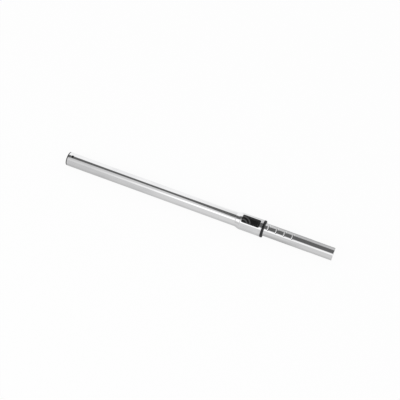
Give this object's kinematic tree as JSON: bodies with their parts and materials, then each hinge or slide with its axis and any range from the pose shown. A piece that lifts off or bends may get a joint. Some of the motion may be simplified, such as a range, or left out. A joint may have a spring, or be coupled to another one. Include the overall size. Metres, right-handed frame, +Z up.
{
  "type": "telescopic vacuum wand",
  "caption": "Telescopic vacuum wand: a notched chrome tube slides in a wider chrome tube and locks under a black sliding thumb button, behind a black mouth collar.",
  "frame": {"origin": "centre of the hose end's mouth, on the common axis of the tubes", "axes": "+X along the wand from the hose end to the floor-head end, +Z up through the thumb button, +Y to the left when looking along +X"},
  "size_m": [0.6945, 0.0426, 0.0428],
  "materials": {
    "chromed_steel": "bright chrome plate on drawn steel tube",
    "black_plastic": "satin black moulding",
    "sleeve_plastic": "black slide-bearing moulding",
    "ring_plastic": "natural slide-bearing moulding",
    "seal_rubber": "soft black rubber",
    "pin_steel": "turned steel",
    "spring_steel": "drawn spring wire"
  },
  "bodies": {
    "outer": {"outer_tube": "chromed_steel", "hose_end_bush": "black_plastic", "guide_sleeve": "sleeve_plastic", "mouth_collar": "black_plastic", "wiper_seal": "seal_rubber", "return_spring": "spring_steel"},
    "inner": {"inner_tube": "chromed_steel", "tail_ring": "ring_plastic"},
    "thumb": {"latch_carriage": "sleeve_plastic", "thumb_button": "black_plastic"},
    "pin": {"lock_pin": "pin_steel"}
  },
  "joints": [
    {"name": "telescope", "type": "slide", "parent": "outer", "child": "inner", "axis": [1, 0, 0], "range_m": [-0.1015, 0.2639]},
    {"name": "thumb_release", "type": "slide", "parent": "outer", "child": "thumb", "axis": [1, 0, 0], "range_m": [0, 0.004], "stiffness_N_per_m": 600, "springref_m": -0.003, "deforming": ["return_spring"]},
    {"name": "pin_lift", "type": "slide", "parent": "outer", "child": "pin", "axis": [0, 0, 1], "range_m": [0, 0.0019]}
  ],
  "couplings": [
    {"joint": "pin_lift", "follows": "thumb_release", "ratio": 0.475}
  ]
}
